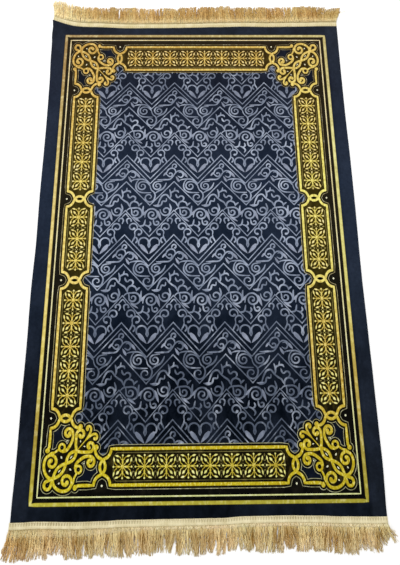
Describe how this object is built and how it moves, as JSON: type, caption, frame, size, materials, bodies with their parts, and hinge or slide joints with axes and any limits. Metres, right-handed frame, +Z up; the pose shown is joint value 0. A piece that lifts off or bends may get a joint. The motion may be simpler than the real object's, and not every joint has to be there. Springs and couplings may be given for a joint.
{
  "type": "prayer rug",
  "caption": "Flat rectangular velvet prayer rug with a printed border and field, and a fringe trim sewn to each end.",
  "frame": {"origin": "middle of the part's box, on the surface that the rug lies on", "axes": "+Y along the rug towards its far end in the picture, +X across it to the right, +Z up"},
  "size_m": [0.7232, 1.2406, 0.0209],
  "materials": {
    "velvet": "short printed velvet pile, dark navy with a black and gold border",
    "fringe": "woven cream heading and loose gold yarn"
  },
  "bodies": {
    "root": {"rug_body": "velvet", "fringe_near": "fringe", "fringe_far": "fringe"}
  },
  "joints": []
}
